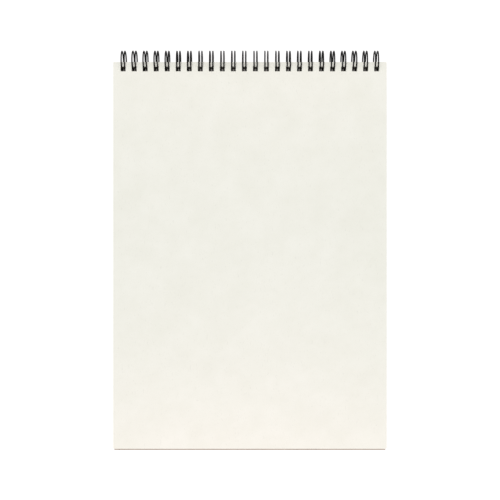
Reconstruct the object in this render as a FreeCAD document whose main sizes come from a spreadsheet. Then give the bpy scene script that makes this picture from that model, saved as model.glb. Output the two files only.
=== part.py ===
"""An A4 sketchbook bound along its short top edge: a grey board back, drawing sheets and a plain
card cover, each punched with a row of square holes and carried by a black twin-loop wire.

The book lies closed on a table, as it does when it is put down: on its loops and on the foot of
its board, so it slopes a little. X runs across the page, Y up the page towards the wire and Z up.
The table is at Z = 0 and the origin is below the middle of the book. Lengths are in millimetres.
"""

import FreeCAD
import Part
import Sketcher
import math
import os

SIZES = {
    "page_width": 210.0,
    "page_length": 297.0,
    "sheet_count": 20,
    "sheet_thickness": 0.33,
    "cover_thickness": 0.45,
    "board_thickness": 1.5,
    "leaf_gap": 0.01,  # air between two leaves of the closed book
    "sheet_jog": 0.10,  # how far a sheet may lie to the left or right of true
    "cover_setback": 0.1,  # how much nearer the foot the cover lies than the sheets
    "foot_overhang": 2.2,  # the board's foot beyond the cover's
    "loop_pitch": 8.467,  # three loops to the inch
    "loop_slack": 5.04,  # what the loops are wider than the block of leaves
    "wire_diameter": 1.1,
    "finger_spacing": 2.4,  # between the middles of a loop's two wires
    "root_bend_radius": 1.0,  # middle of the wire, where a loop turns into the link
    "root_angle": 42.0,  # degrees from the level of the loops' axis down to a loop's root
    "tip_room": 0.5,  # between a loop's tip and the links, more than one wire
    "board_to_link": 0.45,  # air between the links and the board's rear face
    "hole_margin": 3.45,  # paper between a hole and the top edge
    "hole_side_clearance": 0.2,
    "hole_top_clearance": 0.15,  # in the board, above the wire
    "hole_foot_clearance": 0.6,  # beyond the widest part of the loops
}

# What follows from the sizes. Each formula uses the sizes and the fits above it. A reach is a
# distance from the loops' axis towards the foot, along the leaves.
FITS = {
    "sheet_step": "sizes.sheet_thickness + sizes.leaf_gap",
    "block_thickness": "sizes.board_thickness + sizes.sheet_count * sheet_step"
    " + sizes.leaf_gap + sizes.cover_thickness",
    "inner_radius": "(block_thickness + sizes.loop_slack) / 2",
    "wire_radius": "sizes.wire_diameter / 2",
    "middle_radius": "inner_radius + wire_radius",
    "outer_radius": "inner_radius + sizes.wire_diameter",
    "tip_angle": "sizes.root_angle + (sizes.root_bend_radius + sizes.wire_diameter"
    " + sizes.tip_room) / middle_radius * 180 / pi",
    "link_depth": "middle_radius * sin(sizes.root_angle * 1 deg)"
    " + sizes.root_bend_radius * cos(sizes.root_angle * 1 deg)",
    "board_rear": "wire_radius + sizes.board_to_link - link_depth",  # from the loops' axis
    "board_front": "board_rear + sizes.board_thickness",
    "cover_rear": "board_front + sizes.sheet_count * sheet_step + sizes.leaf_gap",
    "hole_width": "sizes.finger_spacing + sizes.wire_diameter + 2 * sizes.hole_side_clearance",
    "hole_top_reach": "sqrt(inner_radius ^ 2 - board_rear ^ 2) - sizes.hole_top_clearance",
    "hole_length": "outer_radius + sizes.hole_foot_clearance - hole_top_reach",
    "top_reach": "hole_top_reach - sizes.hole_margin",
    "cover_top_reach": "top_reach + sizes.cover_setback",
    "foot_reach": "cover_top_reach + sizes.page_length + sizes.foot_overhang",
    "board_length": "foot_reach - top_reach",
    "slope": "asin(outer_radius / sqrt(foot_reach ^ 2 + board_rear ^ 2))"
    " - atan(-board_rear / foot_reach)",
    "ring_y": "(foot_reach * cos(slope) + board_front * sin(slope) - outer_radius) / 2",
    "loop_count": "floor(sizes.page_width / sizes.loop_pitch)",
    "row_half": "sizes.loop_pitch * (loop_count - 1) / 2",
}

JOG_TURN = 137.5  # degrees from one sheet's jog to the next, which never repeats


def sheet_of_numbers(doc, name, cells):
    """A spreadsheet with a name, a value and an alias on each row."""
    page = doc.addObject("Spreadsheet::Sheet", name)
    for row, (alias, content) in enumerate(cells.items(), start=1):
        page.set(f"A{row}", alias)
        page.set(f"B{row}", content)
        page.setAlias(f"B{row}", alias)
    return page


def sketch_on_page(body, name):
    """An empty sketch on the body's own XY plane."""
    planes = body.Origin.OriginFeatures
    page = next(plane for plane in planes if plane.Role == "XY_Plane")
    sketch = body.newObject("Sketcher::SketchObject", name)
    sketch.AttachmentSupport = [(page, "")]
    sketch.MapMode = "FlatFace"
    return sketch


def join(sketch, kind, *ends):
    """Adds a constraint that has no size."""
    sketch.addConstraint(Sketcher.Constraint(kind, *ends))


def measure(sketch, name, kind, ends, formula):
    """Adds a named dimension and binds it to a formula."""
    place = sketch.addConstraint(Sketcher.Constraint(kind, *ends, 1.0))
    sketch.renameConstraint(place, name)
    sketch.setExpression(f"Constraints.{name}", formula)


def rectangle(sketch, width, length, side, top=None):
    """Draws a rectangle from formulas for its size, the distance of its left side from the
    Y axis and that of its top side below the X axis. Without the last, it hangs from that axis."""
    left, right, foot, head = -2.0, -1.0, -2.0, -1.0
    corners = [(left, foot), (right, foot), (right, head), (left, head)]
    points = [FreeCAD.Vector(x, y, 0) for x, y in corners]
    for here, there in zip(points, points[1:] + points[:1]):
        sketch.addGeometry(Part.LineSegment(here, there), False)
    foot_line, right_line, head_line, left_line = range(4)
    start, end, axis = 1, 2, -1
    for line, following in ((0, 1), (1, 2), (2, 3), (3, 0)):
        join(sketch, "Coincident", line, end, following, start)
    join(sketch, "Horizontal", foot_line)
    join(sketch, "Horizontal", head_line)
    join(sketch, "Vertical", right_line)
    join(sketch, "Vertical", left_line)
    measure(sketch, "width", "DistanceX", (foot_line, start, foot_line, end), width)
    measure(sketch, "length", "DistanceY", (right_line, start, right_line, end), length)
    measure(sketch, "side", "DistanceX", (foot_line, start, axis, start), side)
    if top is None:
        join(sketch, "PointOnObject", head_line, start, axis)
    else:
        measure(sketch, "top", "DistanceY", (head_line, start, axis, start), top)


def leaf(doc, name, length, thickness, reach, height, shift="0"):
    """A punched leaf on the sloping book. Its own origin is on its rear face, at the middle of
    its top edge. Formulas give how far that point is from the loops' axis, towards the foot and
    above it, and how far to the right of true."""
    body = doc.addObject("PartDesign::Body", name)
    body.Label = name
    outline = sketch_on_page(body, f"{name}_outline")
    rectangle(outline, "sizes.page_width", length, side="sizes.page_width / 2")
    pad = body.newObject("PartDesign::Pad", f"{name}_pad")
    pad.Profile = outline
    pad.setExpression("Length", thickness)

    punch = sketch_on_page(body, f"{name}_punch")
    rectangle(
        punch,
        width="fits.hole_width",
        length="fits.hole_length",
        side="fits.row_half + fits.hole_width / 2",
        top="sizes.hole_margin",
    )
    hole = body.newObject("PartDesign::Pocket", f"{name}_hole")
    hole.Profile = punch
    hole.Type = "ThroughAll"
    hole.Reversed = True  # the leaf is in front of the sketch
    row = body.newObject("PartDesign::LinearPattern", f"{name}_holes")
    row.Originals = [hole]
    row.Direction = (punch, ["H_Axis"])
    row.setExpression("Length", "2 * fits.row_half")
    row.setExpression("Occurrences", "fits.loop_count")
    body.Tip = row

    across = FreeCAD.Vector(1, 0, 0)
    body.Placement.Rotation = FreeCAD.Rotation(across, 1)
    body.setExpression("Placement.Rotation.Angle", "fits.slope")
    down_the_page = f"({reach})"
    above_the_axis = f"({height})"
    body.setExpression("Placement.Base.x", shift)
    body.setExpression(
        "Placement.Base.y",
        f"fits.ring_y - {down_the_page} * cos(fits.slope) - {above_the_axis} * sin(fits.slope)",
    )
    body.setExpression(
        "Placement.Base.z",
        f"fits.outer_radius - {down_the_page} * sin(fits.slope)"
        f" + {above_the_axis} * cos(fits.slope)",
    )
    return body


def back_board(doc):
    """The stiff grey board, the only leaf that reaches past the foot of the book."""
    size = ("fits.board_length", "sizes.board_thickness")
    return leaf(doc, "back_board", *size, "fits.top_reach", "fits.board_rear")


def drawing_sheet(doc, number, count):
    """One sheet of the block, counted from the cover. No sheet lies quite straight above the
    next."""
    behind = count - number
    height = f"fits.board_front + sizes.leaf_gap + {behind} * fits.sheet_step"
    shift = f"sizes.sheet_jog * sin({number * JOG_TURN} * 1 deg)"
    size = ("sizes.page_length", "sizes.sheet_thickness")
    return leaf(doc, f"sheet_{number:02d}", *size, "fits.top_reach", height, shift)


def front_cover(doc):
    """The plain card in front of the sheets."""
    size = ("sizes.page_length", "sizes.cover_thickness")
    return leaf(doc, "front_cover", *size, "fits.cover_top_reach", "fits.cover_rear")


def round_face(middle, direction, radius):
    """The wire's cross-section, square to a direction."""
    return Part.Face(Part.Wire(Part.makeCircle(radius, middle, direction)))


def wire_turn(start, direction, centre, axis, degrees, radius):
    """A bend of round wire about an axis."""
    return round_face(start, direction, radius).revolve(centre, axis, degrees)


def spoke_and_way(degrees):
    """The direction from the loops' axis to a point of a loop, given in degrees below the level
    of the axis on the foot's side, and the direction in which the loop passes through it."""
    angle = math.radians(degrees)
    spoke = FreeCAD.Vector(0, -math.cos(angle), -math.sin(angle))
    way = FreeCAD.Vector(0, -math.sin(angle), math.cos(angle))
    return spoke, way


def wire_loop(fits):
    """One loop with half of the link on either side of it, as (solids, middle line length).
    Seen from the left the loop is a circle that starts below the board, rises through the holes,
    passes over the top edge and comes back under the book to its own root. Its origin is on the
    loops' axis, midway between its two wires."""
    across = FreeCAD.Vector(1, 0, 0)
    radius, ring, bend = fits["wire_radius"], fits["middle_radius"], fits["root_bend_radius"]
    half = fits["finger_spacing"] / 2
    link_run = fits["loop_pitch"] / 2 - half - bend
    root_out, root_way = spoke_and_way(fits["root_angle"])
    tip_out, tip_way = spoke_and_way(fits["tip_angle"])
    root, tip = root_out * ring, tip_out * ring
    link = root - root_way * bend
    sweep = 360 + fits["root_angle"] - fits["tip_angle"]

    solids = []
    for side in (-1, 1):
        link_end = link + across * (side * fits["loop_pitch"] / 2)
        run = across * (-side * link_run)
        solids.append(round_face(link_end, across, radius).extrude(run))
        bend_start = link_end + run
        bend_axis = across.cross(root_way) * -side
        solids.append(
            wire_turn(bend_start, across, bend_start + root_way * bend, bend_axis, 90, radius)
        )
        ring_start = root + across * (side * half)
        ring_centre = across * (side * half)
        solids.append(wire_turn(ring_start, root_way, ring_centre, across * -1, sweep, radius))
    tip_start = tip - across * half
    solids.append(wire_turn(tip_start, tip_way, tip, tip_out * -1, 180, radius))

    straight = 2 * link_run
    bends = math.pi * bend + math.pi * half
    rings = 2 * ring * math.radians(sweep)
    return solids, straight + bends + rings


def twin_loop_wire(doc, fits):
    """The whole binding. One wire is bent into the row of loops, so each loop's solid ends in the
    middle of a link and meets the next one there, face to face."""
    solids, loop_length = wire_loop(fits)
    loop = solids[0].multiFuse(solids[1:]).Solids[0]
    count = int(fits["loop_count"])
    places = [number * fits["loop_pitch"] - fits["row_half"] for number in range(count)]
    loops = [loop.translated(FreeCAD.Vector(place, 0, 0)) for place in places]
    wire = doc.addObject("Part::Feature", "twin_loop_wire")
    wire.Label = "twin_loop_wire"
    wire.Shape = Part.makeCompound(loops)
    across = FreeCAD.Vector(1, 0, 0)
    place = FreeCAD.Vector(0, fits["ring_y"], fits["outer_radius"])
    wire.Placement = FreeCAD.Placement(place, FreeCAD.Rotation(across, fits["slope"]))
    section = math.pi * fits["wire_radius"] ** 2
    check_volume(wire, section * loop_length * count)
    return wire


def check_volume(item, expected):
    """Stops when a solid doesn't have the volume that its sizes give."""
    if abs(item.Shape.Volume - expected) > 0.001 * expected:
        raise ValueError(f"{item.Label}: {item.Shape.Volume:.1f} mm3, not {expected:.1f}")


def check_leaf(body, length, thickness, fits):
    """Stops when a leaf's holes are missing."""
    holes = fits["loop_count"] * fits["hole_width"] * fits["hole_length"]
    check_volume(body, (fits["page_width"] * length - holes) * thickness)


def check_document(doc, items):
    """Stops when anything in the document failed or a sub-part has no sound shape."""
    failed = [o.Name for o in doc.Objects if "Invalid" in o.State or "Error" in o.State]
    if failed:
        raise ValueError(f"failed: {failed}")
    for item in items:
        shape = item.Shape
        if shape.isNull() or not shape.isValid() or not shape.Solids:
            raise ValueError(f"{item.Label} has no sound shape")


def build():
    """Makes the document and returns its sub-parts."""
    doc = FreeCAD.newDocument("sketchbook")
    sheet_of_numbers(doc, "sizes", {name: str(size) for name, size in SIZES.items()})
    page = sheet_of_numbers(doc, "fits", {name: f"={formula}" for name, formula in FITS.items()})
    doc.recompute()
    fits = {**SIZES, **{name: float(page.get(name)) for name in FITS}}

    board = back_board(doc)
    count = int(SIZES["sheet_count"])
    sheets = [drawing_sheet(doc, number, count) for number in range(1, count + 1)]
    cover = front_cover(doc)
    doc.recompute()
    check_leaf(board, fits["board_length"], fits["board_thickness"], fits)
    for sheet in sheets:
        check_leaf(sheet, fits["page_length"], fits["sheet_thickness"], fits)
    check_leaf(cover, fits["page_length"], fits["cover_thickness"], fits)
    items = [board, *sheets, cover, twin_loop_wire(doc, fits)]
    doc.recompute()
    check_document(doc, items)
    return items


os.makedirs("parts", exist_ok=True)
for item in build():
    item.Shape.exportStep(f"parts/{item.Label}.step")
    print(f"{item.Label}: {item.Shape.Volume:.1f} mm3, {len(item.Shape.Solids)} solid")
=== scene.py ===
"""An A4 sketchbook lying closed on a white table: a cream cover and drawing sheets over a grey
board, bound along the short top edge with a black twin-loop wire. Lengths are in metres."""

import bpy
import math
import random

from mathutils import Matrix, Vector


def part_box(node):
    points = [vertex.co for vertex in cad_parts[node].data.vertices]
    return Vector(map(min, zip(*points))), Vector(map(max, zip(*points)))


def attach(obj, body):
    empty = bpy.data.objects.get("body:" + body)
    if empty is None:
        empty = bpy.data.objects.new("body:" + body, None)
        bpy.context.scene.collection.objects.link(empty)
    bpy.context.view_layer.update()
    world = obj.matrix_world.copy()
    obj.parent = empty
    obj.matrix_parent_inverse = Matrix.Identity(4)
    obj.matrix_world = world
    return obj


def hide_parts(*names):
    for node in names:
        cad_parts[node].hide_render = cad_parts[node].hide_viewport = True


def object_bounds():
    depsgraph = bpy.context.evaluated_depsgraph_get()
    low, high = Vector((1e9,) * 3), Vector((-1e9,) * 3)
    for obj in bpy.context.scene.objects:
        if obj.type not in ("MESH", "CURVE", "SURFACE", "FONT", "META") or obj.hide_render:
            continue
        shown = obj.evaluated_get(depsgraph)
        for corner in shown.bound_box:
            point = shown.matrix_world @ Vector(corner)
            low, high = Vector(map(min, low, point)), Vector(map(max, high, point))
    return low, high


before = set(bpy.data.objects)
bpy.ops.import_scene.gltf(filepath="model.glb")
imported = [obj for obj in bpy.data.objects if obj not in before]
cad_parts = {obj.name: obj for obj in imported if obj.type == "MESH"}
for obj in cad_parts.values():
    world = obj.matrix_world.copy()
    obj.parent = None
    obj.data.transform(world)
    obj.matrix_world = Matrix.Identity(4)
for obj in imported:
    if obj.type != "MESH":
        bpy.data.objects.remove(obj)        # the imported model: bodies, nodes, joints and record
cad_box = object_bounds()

MM = 0.001
bpy.ops.object.select_all(action="DESELECT")


# ---- Drawing sheets -------------------------------------------------------------------------
# Twenty loose leaves of cream cartridge paper of about 220 g/m2, cut to A4 and punched along
# the short edge. The surface is uncoated: fine felt grain, faint clouds where the pulp settled
# thicker, a few darker fibres, and a guillotined edge that shows every sheet.

def paper_grain_group():
    """Clouds, fibres and grain of uncoated paper: a tone mask, a fibre mask and a height."""
    group = bpy.data.node_groups.new("paper grain", "ShaderNodeTree")
    face = group.interface
    face.new_socket("Vector", in_out="INPUT", socket_type="NodeSocketVector")
    face.new_socket("Grain per metre", in_out="INPUT", socket_type="NodeSocketFloat")
    face.new_socket("Clouds per metre", in_out="INPUT", socket_type="NodeSocketFloat")
    face.new_socket("Clouds", in_out="OUTPUT", socket_type="NodeSocketFloat")
    face.new_socket("Fibres", in_out="OUTPUT", socket_type="NodeSocketFloat")
    face.new_socket("Height", in_out="OUTPUT", socket_type="NodeSocketFloat")
    nodes, links = group.nodes, group.links
    given = nodes.new("NodeGroupInput")
    result = nodes.new("NodeGroupOutput")

    clouds = nodes.new("ShaderNodeTexNoise")
    clouds.inputs["Detail"].default_value = 4
    clouds.inputs["Roughness"].default_value = 0.6
    links.new(given.outputs["Vector"], clouds.inputs["Vector"])
    links.new(given.outputs["Clouds per metre"], clouds.inputs["Scale"])
    links.new(clouds.outputs["Fac"], result.inputs["Clouds"])

    grain = nodes.new("ShaderNodeTexNoise")
    grain.inputs["Detail"].default_value = 3
    grain.inputs["Roughness"].default_value = 0.65
    links.new(given.outputs["Vector"], grain.inputs["Vector"])
    links.new(given.outputs["Grain per metre"], grain.inputs["Scale"])

    # fibres are long, thin cells of a stretched noise that is bent by the clouds
    stretch = nodes.new("ShaderNodeVectorMath")
    stretch.operation = "MULTIPLY_ADD"
    stretch.inputs[1].default_value = (1.0, 0.25, 1.0)
    links.new(given.outputs["Vector"], stretch.inputs[0])
    bend = nodes.new("ShaderNodeVectorMath")
    bend.operation = "SCALE"
    bend.inputs["Scale"].default_value = 4 * MM
    links.new(clouds.outputs["Color"], bend.inputs[0])
    links.new(bend.outputs["Vector"], stretch.inputs[2])
    strands = nodes.new("ShaderNodeTexNoise")
    strands.inputs["Detail"].default_value = 1
    links.new(stretch.outputs["Vector"], strands.inputs["Vector"])
    links.new(given.outputs["Grain per metre"], strands.inputs["Scale"])
    pick = nodes.new("ShaderNodeMapRange")
    pick.interpolation_type = "SMOOTHSTEP"
    pick.inputs["From Min"].default_value = 0.64
    pick.inputs["From Max"].default_value = 0.76
    links.new(strands.outputs["Fac"], pick.inputs["Value"])
    links.new(pick.outputs["Result"], result.inputs["Fibres"])

    relief = nodes.new("ShaderNodeMath")
    relief.operation = "MULTIPLY_ADD"
    relief.inputs[1].default_value = 0.5
    links.new(strands.outputs["Fac"], relief.inputs[0])
    links.new(grain.outputs["Fac"], relief.inputs[2])
    links.new(relief.outputs["Value"], result.inputs["Height"])
    return group


paper_grain = paper_grain_group()


def cut_edge_group():
    """Where a flat leaf shows its cut edge, and the streaks that the blade left across it."""
    group = bpy.data.node_groups.new("cut edge", "ShaderNodeTree")
    face = group.interface
    face.new_socket("Normal", in_out="INPUT", socket_type="NodeSocketVector")
    face.new_socket("Vector", in_out="INPUT", socket_type="NodeSocketVector")
    face.new_socket("Layers per metre", in_out="INPUT", socket_type="NodeSocketFloat")
    face.new_socket("Edge", in_out="OUTPUT", socket_type="NodeSocketFloat")
    face.new_socket("Streaks", in_out="OUTPUT", socket_type="NodeSocketFloat")
    nodes, links = group.nodes, group.links
    given = nodes.new("NodeGroupInput")
    result = nodes.new("NodeGroupOutput")

    split = nodes.new("ShaderNodeSeparateXYZ")
    links.new(given.outputs["Normal"], split.inputs["Vector"])
    upright = nodes.new("ShaderNodeMath")
    upright.operation = "ABSOLUTE"
    links.new(split.outputs["Z"], upright.inputs[0])
    side = nodes.new("ShaderNodeMapRange")
    side.inputs["From Min"].default_value = 0.8
    side.inputs["From Max"].default_value = 0.3
    links.new(upright.outputs["Value"], side.inputs["Value"])
    links.new(side.outputs["Result"], result.inputs["Edge"])

    flatten = nodes.new("ShaderNodeVectorMath")
    flatten.operation = "MULTIPLY"
    flatten.inputs[1].default_value = (0.06, 0.06, 1.0)
    links.new(given.outputs["Vector"], flatten.inputs[0])
    streaks = nodes.new("ShaderNodeTexNoise")
    streaks.inputs["Detail"].default_value = 2
    links.new(flatten.outputs["Vector"], streaks.inputs["Vector"])
    links.new(given.outputs["Layers per metre"], streaks.inputs["Scale"])
    links.new(streaks.outputs["Fac"], result.inputs["Streaks"])
    return group


cut_edge = cut_edge_group()


def blend_colours(nodes, links, mask, first, second):
    """Mixes two colours, each a colour or a node's output, by a mask between 0 and 1."""
    mix = nodes.new("ShaderNodeMix")
    mix.data_type = "RGBA"
    for socket, colour in ((mix.inputs[6], first), (mix.inputs[7], second)):
        if isinstance(colour, tuple):
            socket.default_value = (*colour, 1)
        else:
            links.new(colour, socket)
    links.new(mask, mix.inputs[0])
    return mix.outputs[2]


def scaled_mask(nodes, links, value, low, high, least=0.0, most=1.0):
    """Stretches a value between two limits over a mask's range."""
    spread = nodes.new("ShaderNodeMapRange")
    spread.inputs["From Min"].default_value = low
    spread.inputs["From Max"].default_value = high
    spread.inputs["To Min"].default_value = least
    spread.inputs["To Max"].default_value = most
    links.new(value, spread.inputs["Value"])
    return spread.outputs["Result"]


def paper_material(name, light, dark, edge, grain_per_metre, relief):
    """Uncoated cream paper or card, between a light and a dark tone, with a cut edge."""
    material = bpy.data.materials.new(name)
    material.use_nodes = True
    nodes, links = material.node_tree.nodes, material.node_tree.links
    shader = nodes["Principled BSDF"]
    place = nodes.new("ShaderNodeTexCoord")

    grain = nodes.new("ShaderNodeGroup")
    grain.node_tree = paper_grain
    grain.inputs["Grain per metre"].default_value = grain_per_metre
    grain.inputs["Clouds per metre"].default_value = 55
    links.new(place.outputs["Object"], grain.inputs["Vector"])
    blade = nodes.new("ShaderNodeGroup")
    blade.node_tree = cut_edge
    blade.inputs["Layers per metre"].default_value = 2600
    links.new(place.outputs["Object"], blade.inputs["Vector"])
    links.new(place.outputs["Normal"], blade.inputs["Normal"])

    clouds = scaled_mask(nodes, links, grain.outputs["Clouds"], 0.3, 0.7)
    face = blend_colours(nodes, links, clouds, dark, light)
    fibre_mask = scaled_mask(nodes, links, grain.outputs["Fibres"], 0, 1, 0, 0.35)
    fibre = tuple(0.84 * channel for channel in dark)
    fibred = blend_colours(nodes, links, fibre_mask, face, fibre)
    streaks = scaled_mask(nodes, links, blade.outputs["Streaks"], 0.3, 0.7)
    side = blend_colours(nodes, links, streaks, edge, dark)
    colour = blend_colours(nodes, links, blade.outputs["Edge"], fibred, side)
    links.new(colour, shader.inputs["Base Color"])

    roughness = scaled_mask(nodes, links, grain.outputs["Clouds"], 0.2, 0.8, 0.82, 0.92)
    links.new(roughness, shader.inputs["Roughness"])
    shader.inputs["Specular IOR Level"].default_value = 0.25
    bump = nodes.new("ShaderNodeBump")
    bump.inputs["Strength"].default_value = relief
    bump.inputs["Distance"].default_value = 0.05 * MM
    links.new(grain.outputs["Height"], bump.inputs["Height"])
    links.new(bump.outputs["Normal"], shader.inputs["Normal"])
    return material


cartridge_paper = paper_material(
    "cartridge paper",
    light=(0.845, 0.856, 0.783),
    dark=(0.809, 0.819, 0.739),
    edge=(0.700, 0.675, 0.600),
    grain_per_metre=2200,
    relief=0.5,
)
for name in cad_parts:
    if name.startswith("sheet_"):
        bpy.data.objects[name].material_slots[0].material = cartridge_paper


# ---- Front cover ----------------------------------------------------------------------------
# One leaf of plain cream card, a little heavier than the sheets, with the same soft felt
# surface and no print. It is cut and punched together with the sheets under it.

cover_card = paper_material(
    "cover card",
    light=(0.850, 0.864, 0.793),
    dark=(0.816, 0.830, 0.751),
    edge=(0.690, 0.660, 0.585),
    grain_per_metre=1700,
    relief=0.7,
)
bpy.data.objects["front_cover"].material_slots[0].material = cover_card


# ---- Back board -----------------------------------------------------------------------------
# Unlined chipboard, 1.5 mm thick, pressed from waste paper: grey-brown, with pale and dark
# flecks of old pulp, and an edge that shows the plies it was couched in.

def pulp_flecks_group():
    """Flecks of recycled pulp: one mask for pale ones, one for dark ones, and a height."""
    group = bpy.data.node_groups.new("pulp flecks", "ShaderNodeTree")
    face = group.interface
    face.new_socket("Vector", in_out="INPUT", socket_type="NodeSocketVector")
    face.new_socket("Flecks per metre", in_out="INPUT", socket_type="NodeSocketFloat")
    face.new_socket("Pale", in_out="OUTPUT", socket_type="NodeSocketFloat")
    face.new_socket("Dark", in_out="OUTPUT", socket_type="NodeSocketFloat")
    face.new_socket("Height", in_out="OUTPUT", socket_type="NodeSocketFloat")
    nodes, links = group.nodes, group.links
    given = nodes.new("NodeGroupInput")
    result = nodes.new("NodeGroupOutput")
    warp = nodes.new("ShaderNodeTexNoise")
    warp.inputs["Scale"].default_value = 90
    links.new(given.outputs["Vector"], warp.inputs["Vector"])
    for output, shift, low, high in (("Pale", 0.0, 0.60, 0.70), ("Dark", 7.3, 0.62, 0.74)):
        pull = nodes.new("ShaderNodeVectorMath")
        pull.operation = "MULTIPLY_ADD"
        pull.inputs[1].default_value = (6 * MM, 6 * MM, 6 * MM)
        links.new(warp.outputs["Color"], pull.inputs[0])
        move = nodes.new("ShaderNodeVectorMath")
        move.inputs[1].default_value = (shift, shift, shift)
        links.new(given.outputs["Vector"], move.inputs[0])
        links.new(move.outputs["Vector"], pull.inputs[2])
        flecks = nodes.new("ShaderNodeTexNoise")
        flecks.inputs["Detail"].default_value = 2
        links.new(pull.outputs["Vector"], flecks.inputs["Vector"])
        links.new(given.outputs["Flecks per metre"], flecks.inputs["Scale"])
        pick = nodes.new("ShaderNodeMapRange")
        pick.interpolation_type = "SMOOTHSTEP"
        pick.inputs["From Min"].default_value = low
        pick.inputs["From Max"].default_value = high
        links.new(flecks.outputs["Fac"], pick.inputs["Value"])
        links.new(pick.outputs["Result"], result.inputs[output])
        if output == "Pale":
            links.new(flecks.outputs["Fac"], result.inputs["Height"])
    return group


def chipboard_material():
    """Grey-brown chipboard with flecks on its faces and plies on its edge."""
    body, cloud = (0.420, 0.362, 0.300), (0.360, 0.306, 0.248)
    pale, dark, ply = (0.520, 0.470, 0.400), (0.120, 0.095, 0.070), (0.210, 0.165, 0.120)
    material = bpy.data.materials.new("chipboard")
    material.use_nodes = True
    nodes, links = material.node_tree.nodes, material.node_tree.links
    shader = nodes["Principled BSDF"]
    place = nodes.new("ShaderNodeTexCoord")
    pulp = nodes.new("ShaderNodeGroup")
    pulp.node_tree = pulp_flecks_group()
    pulp.inputs["Flecks per metre"].default_value = 900
    links.new(place.outputs["Object"], pulp.inputs["Vector"])
    grain = nodes.new("ShaderNodeGroup")
    grain.node_tree = paper_grain
    grain.inputs["Grain per metre"].default_value = 1500
    grain.inputs["Clouds per metre"].default_value = 40
    links.new(place.outputs["Object"], grain.inputs["Vector"])
    blade = nodes.new("ShaderNodeGroup")
    blade.node_tree = cut_edge
    blade.inputs["Layers per metre"].default_value = 4200
    links.new(place.outputs["Object"], blade.inputs["Vector"])
    links.new(place.outputs["Normal"], blade.inputs["Normal"])

    clouds = scaled_mask(nodes, links, grain.outputs["Clouds"], 0.3, 0.7)
    face = blend_colours(nodes, links, clouds, cloud, body)
    pale_mask = scaled_mask(nodes, links, pulp.outputs["Pale"], 0, 1, 0, 0.6)
    paled = blend_colours(nodes, links, pale_mask, face, pale)
    dark_mask = scaled_mask(nodes, links, pulp.outputs["Dark"], 0, 1, 0, 0.7)
    flecked = blend_colours(nodes, links, dark_mask, paled, dark)
    plies = scaled_mask(nodes, links, blade.outputs["Streaks"], 0.35, 0.65)
    side = blend_colours(nodes, links, plies, ply, body)
    colour = blend_colours(nodes, links, blade.outputs["Edge"], flecked, side)
    links.new(colour, shader.inputs["Base Color"])
    roughness = scaled_mask(nodes, links, pulp.outputs["Pale"], 0, 1, 0.9, 0.8)
    links.new(roughness, shader.inputs["Roughness"])
    shader.inputs["Specular IOR Level"].default_value = 0.2
    bump = nodes.new("ShaderNodeBump")
    bump.inputs["Strength"].default_value = 0.6
    bump.inputs["Distance"].default_value = 0.08 * MM
    links.new(pulp.outputs["Height"], bump.inputs["Height"])
    links.new(bump.outputs["Normal"], shader.inputs["Normal"])
    return material


bpy.data.objects["back_board"].material_slots[0].material = chipboard_material()


# ---- Twin-loop wire -------------------------------------------------------------------------
# One steel wire in a black nylon coat, bent into a comb of double fingers, laid through the
# holes and rolled shut, so that the finger tips come back to the links under the board. The
# fingers narrow towards their tips, and each leans and opens a little in its own way.

wire_radius = 0.55 * MM
ring_radius = 7.45 * MM
loop_pitch = 8.467 * MM
loop_count = 24
finger_half = 1.2 * MM
root_bend = 1.0 * MM
tip_run = 2.6 * MM  # along the loop, from where the straight fingers end to their root
slope = math.radians(0.623)  # the book rests on its loops and on the foot of its board
root_angle = math.radians(42.0) + slope  # below the level of the axis
tip_angle = root_angle + tip_run / ring_radius
root_spread, tip_spread = 1.22 * MM, 1.04 * MM
most_lean, most_opening = 0.20 * MM, 0.03 * MM
wire_sides, corner_steps, ring_steps, tip_steps = 16, 6, 60, 14

wire_low, wire_high = (Vector(corner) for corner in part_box("twin_loop_wire"))
outer_radius = ring_radius + wire_radius
ring_axis = Vector((0, wire_high.y - outer_radius, wire_low.z + outer_radius))
climb = Vector((0, -math.sin(root_angle), math.cos(root_angle)))
root = ring_axis + ring_radius * Vector((0, -math.cos(root_angle), -math.sin(root_angle)))
link = root - climb * root_bend
crest_height = ring_axis.z + ring_radius - root.z
tip_spoke = Vector((0, -math.cos(tip_angle), -math.sin(tip_angle)))


def turn_wire(centre, axis, angle, steps):
    """Spins the selected end of the wire about a centre, by the right-hand rule."""
    bpy.ops.mesh.spin(steps=steps, angle=-angle, center=centre, axis=axis, use_auto_merge=False)


def run_wire(length):
    """Extrudes the selected end of the wire to the right."""
    bpy.ops.mesh.extrude_region_move(TRANSFORM_OT_translate={"value": (length, 0, 0)})


def straight_loop():
    """One loop, from the middle of the link on its left to the middle of the one on its right."""
    run = loop_pitch / 2 - finger_half - root_bend
    across = Vector((1, 0, 0))
    left, right = across * -finger_half, across * finger_half
    sweep = 2 * math.pi + root_angle - tip_angle
    bpy.ops.mesh.primitive_circle_add(
        vertices=wire_sides,
        radius=wire_radius,
        location=link - across * (loop_pitch / 2),
        rotation=(0, math.pi / 2, 0),
    )
    loop = bpy.context.object
    bpy.ops.object.transform_apply(location=True, rotation=True, scale=True)
    bpy.ops.object.mode_set(mode="EDIT")
    bpy.ops.mesh.select_all(action="SELECT")
    run_wire(run)
    turn_wire(root + left - across * root_bend, across.cross(climb), math.pi / 2, corner_steps)
    turn_wire(ring_axis + left, -across, sweep, ring_steps)
    turn_wire(ring_axis + tip_spoke * ring_radius, -tip_spoke, math.pi, tip_steps)
    turn_wire(ring_axis + right, across, sweep, ring_steps)
    turn_wire(root + right + across * root_bend, across.cross(climb), math.pi / 2, corner_steps)
    run_wire(run)
    bpy.ops.object.mode_set(mode="OBJECT")
    return loop


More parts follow.
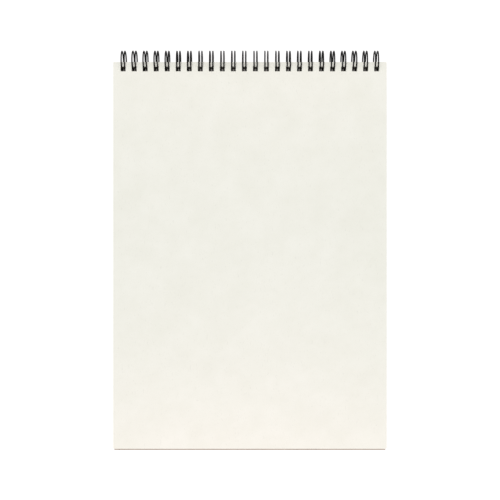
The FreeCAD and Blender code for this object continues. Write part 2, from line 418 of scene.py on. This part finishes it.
def rolled_shut(loop, lean, opening):
    """Narrows a loop from its root to its tip, opens its middle and leans its crest sideways,
    leaving its links alone. The fingers stay clear of the sides of the holes."""
    for corner in loop.data.vertices:
        spoke = corner.co - ring_axis
        turned = math.atan2(spoke.z, -spoke.y)
        past_root = ring_radius * (-root_angle - turned)
        from_tip = math.hypot(corner.co.x, past_root - tip_run)
        if past_root > tip_run or from_tip < finger_half + wire_radius + 0.05 * MM:
            turned += 2 * math.pi
        share = min(max((turned + root_angle) / (2 * math.pi + root_angle - tip_angle), 0), 1)
        spread = root_spread + (tip_spread - root_spread) * share
        spread += opening * math.sin(share * math.pi)
        side = min(max(corner.co.x / finger_half, -1), 1)
        outward = max(abs(corner.co.x) - finger_half - wire_radius, 0)
        fade = 1 - min(outward / (loop_pitch / 2 - finger_half - wire_radius), 1)
        height = max(corner.co.z - root.z, 0) / crest_height
        corner.co.x += side * fade * (spread - finger_half) + lean * height**2


first_loop = straight_loop()
loops = []
chance = random.Random(24)
for number in range(loop_count):
    loop = first_loop.copy()
    loop.data = first_loop.data.copy()
    bpy.context.collection.objects.link(loop)
    lean = chance.uniform(-most_lean, most_lean)
    rolled_shut(loop, lean, chance.uniform(-most_opening, most_opening))
    shift = (number - (loop_count - 1) / 2) * loop_pitch
    for corner in loop.data.vertices:
        corner.co.x += shift
    loops.append(loop)
bpy.data.objects.remove(first_loop)

bpy.ops.object.select_all(action="DESELECT")
for loop in loops:
    loop.select_set(True)
bpy.context.view_layer.objects.active = loops[0]
bpy.ops.object.join()
binding = bpy.context.object
binding.name = "rolled_wire"
bpy.ops.object.mode_set(mode="EDIT")
bpy.ops.mesh.select_all(action="SELECT")
bpy.ops.mesh.remove_doubles(threshold=0.002 * MM)
bpy.ops.mesh.select_all(action="DESELECT")
bpy.ops.mesh.select_non_manifold()
bpy.ops.mesh.edge_face_add()
bpy.ops.mesh.select_all(action="SELECT")
bpy.ops.mesh.normals_make_consistent(inside=False)
bpy.ops.object.mode_set(mode="OBJECT")
bpy.ops.object.shade_smooth_by_angle(angle=math.radians(50))


def nylon_material():
    """Satin black nylon on steel: a fine orange peel, and dull scuffs from handling."""
    black, scuffed = (0.003, 0.0028, 0.0026), (0.012, 0.011, 0.010)
    material = bpy.data.materials.new("black nylon coat")
    material.use_nodes = True
    nodes, links = material.node_tree.nodes, material.node_tree.links
    shader = nodes["Principled BSDF"]
    place = nodes.new("ShaderNodeTexCoord")
    scuffs = nodes.new("ShaderNodeTexNoise")
    scuffs.inputs["Scale"].default_value = 700
    scuffs.inputs["Detail"].default_value = 3
    links.new(place.outputs["Object"], scuffs.inputs["Vector"])
    worn = scaled_mask(nodes, links, scuffs.outputs["Fac"], 0.55, 0.75)
    colour = blend_colours(nodes, links, worn, black, scuffed)
    links.new(colour, shader.inputs["Base Color"])
    roughness = scaled_mask(nodes, links, scuffs.outputs["Fac"], 0.4, 0.75, 0.32, 0.50)
    links.new(roughness, shader.inputs["Roughness"])
    shader.inputs["Specular IOR Level"].default_value = 0.08
    peel = nodes.new("ShaderNodeTexNoise")
    peel.inputs["Scale"].default_value = 2600
    links.new(place.outputs["Object"], peel.inputs["Vector"])
    bump = nodes.new("ShaderNodeBump")
    bump.inputs["Strength"].default_value = 0.25
    bump.inputs["Distance"].default_value = 0.03 * MM
    links.new(peel.outputs["Fac"], bump.inputs["Height"])
    links.new(bump.outputs["Normal"], shader.inputs["Normal"])
    return material


binding.data.materials.clear()
binding.data.materials.append(nylon_material())
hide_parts("twin_loop_wire")
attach(binding, "base")


# ---- Table ----------------------------------------------------------------------------------
# A plain white table top that runs on past the frame. It keeps a soft shadow of the book,
# and its glow is painted dim under the leaves, a painted shade where little light gets in.

table_size = 6.0
table_height = cad_box[0][2]
painted_shade_fade = 2 * MM  # how far inside the leaves' outline the painted shade reaches its darkest
bpy.ops.mesh.primitive_plane_add(size=table_size, location=(0, 0, table_height))
table = bpy.context.object
table.name = "table"


def seen_directly(nodes, links):
    """One for a camera ray, a mirror ray or a glass ray, and nought for light that bounces."""
    path = nodes.new("ShaderNodeLightPath")
    total = path.outputs["Is Camera Ray"]
    for kind in ("Is Glossy Ray", "Is Transmission Ray"):
        add = nodes.new("ShaderNodeMath")
        add.operation = "MAXIMUM"
        links.new(total, add.inputs[0])
        links.new(path.outputs[kind], add.inputs[1])
        total = add.outputs["Value"]
    return total


def under_leaves(nodes, links):
    """One on the stretch of table that the leaves cover, and nought elsewhere: the mask of the
    shade painted on the table under the book.
    """
    low, high = (Vector(corner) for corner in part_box("front_cover"))
    place = nodes.new("ShaderNodeTexCoord")
    centred = nodes.new("ShaderNodeVectorMath")
    centred.operation = "SUBTRACT"
    centred.inputs[1].default_value = (low + high) / 2
    links.new(place.outputs["Object"], centred.inputs[0])
    distance = nodes.new("ShaderNodeVectorMath")
    distance.operation = "ABSOLUTE"
    links.new(centred.outputs["Vector"], distance.inputs[0])
    split = nodes.new("ShaderNodeSeparateXYZ")
    links.new(distance.outputs["Vector"], split.inputs["Vector"])
    both = nodes.new("ShaderNodeMath")
    both.operation = "MULTIPLY"
    for number, (side, half) in enumerate(zip("XY", (high - low) / 2)):
        share = scaled_mask(nodes, links, split.outputs[side], half, half - painted_shade_fade)
        links.new(share, both.inputs[number])
    return both.outputs["Value"]


white = bpy.data.materials.new("white table")
white.use_nodes = True
nodes, links = white.node_tree.nodes, white.node_tree.links
nodes.remove(nodes["Principled BSDF"])
matte = nodes.new("ShaderNodeBsdfDiffuse")
matte.inputs["Color"].default_value = (0.3, 0.3, 0.3, 1)
glow = nodes.new("ShaderNodeEmission")
glow_share = scaled_mask(nodes, links, seen_directly(nodes, links), 0, 1, 0.0, 0.85)
links.new(glow_share, glow.inputs["Strength"])
# painted shade: the table's glow is painted a dim warm grey under the leaves, where the book
# would shade it
open_glow, painted_shade_colour = (1, 1, 1), (0.15, 0.14, 0.13)
painted_shade_glow = blend_colours(nodes, links, under_leaves(nodes, links), open_glow, painted_shade_colour)
links.new(painted_shade_glow, glow.inputs["Color"])
together = nodes.new("ShaderNodeAddShader")
links.new(matte.outputs["BSDF"], together.inputs[0])
links.new(glow.outputs["Emission"], together.inputs[1])
links.new(together.outputs["Shader"], nodes["Material Output"].inputs["Surface"])
table.data.materials.append(white)


# ---- Studio light ---------------------------------------------------------------------------
# An even white tent, a broad soft light overhead, which keeps the loops' shadows under them and
# leaves the holes dark, and two weak pink panels that lift the two ends of the page a little.

scene = bpy.context.scene
scene.view_settings.view_transform = "Standard"
world = bpy.data.worlds.new("tent")
world.use_nodes = True
scene.world = world
nodes, links = world.node_tree.nodes, world.node_tree.links
tent_share = scaled_mask(nodes, links, seen_directly(nodes, links), 0, 1, 0.4, 1.0)
links.new(tent_share, nodes["Background"].inputs["Strength"])
nodes["Background"].inputs["Color"].default_value = (1, 1, 1, 1)


def aimed_light(kind, name, place, target, strength):
    """A lamp that faces a point and that the camera doesn't see."""
    bpy.ops.object.light_add(type=kind, location=place)
    lamp = bpy.context.object
    lamp.name = name
    lamp.data.energy = strength
    lamp.rotation_euler = (Vector(target) - Vector(place)).to_track_quat("-Z", "Y").to_euler()
    lamp.visible_camera = False
    return lamp


broad = aimed_light("SUN", "broad", (-0.12, 0.0, 1.0), (0, 0, 0), 1.82)
broad.data.angle = math.radians(30)
panel_length, panel_width = 0.36, 0.06
panel_colour = (1.0, 0.62, 0.66)
panels = (("foot panel", (0, -0.27, 0.14), (0, -0.13, 0), 0.11),
          ("head panel", (0, 0.30, 0.16), (0, 0.13, 0), 0.085))
for name, place, target, strength in panels:
    panel = aimed_light("AREA", name, place, target, strength)
    panel.data.shape = "RECTANGLE"
    panel.data.size, panel.data.size_y = panel_length, panel_width
    panel.data.color = panel_colour


# ---- Camera ---------------------------------------------------------------------------------
# It looks squarely down on the page, with the wire at the top of the frame, from near enough
# that the outer loops show a little of their sides.

camera_height = 0.8
frame_width = 0.3840
sensor_width = 36  # of the camera, in millimetres
aim_right, aim_up = 0.08 * MM, 4.2 * MM  # from the middle of the page
page_low, page_high = (Vector(corner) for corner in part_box("front_cover"))
page_middle = (page_low + page_high) / 2
up_the_page = Vector((0, math.cos(slope), math.sin(slope)))
out_of_the_page = Vector((0, -math.sin(slope), math.cos(slope)))
camera_place = page_middle + up_the_page * aim_up + out_of_the_page * camera_height
camera_place.x += aim_right
bpy.ops.object.camera_add(location=camera_place, rotation=(slope, 0, 0))
camera = bpy.context.object
camera.data.sensor_width = sensor_width
camera.data.lens = sensor_width * camera_height / frame_width
scene.camera = camera
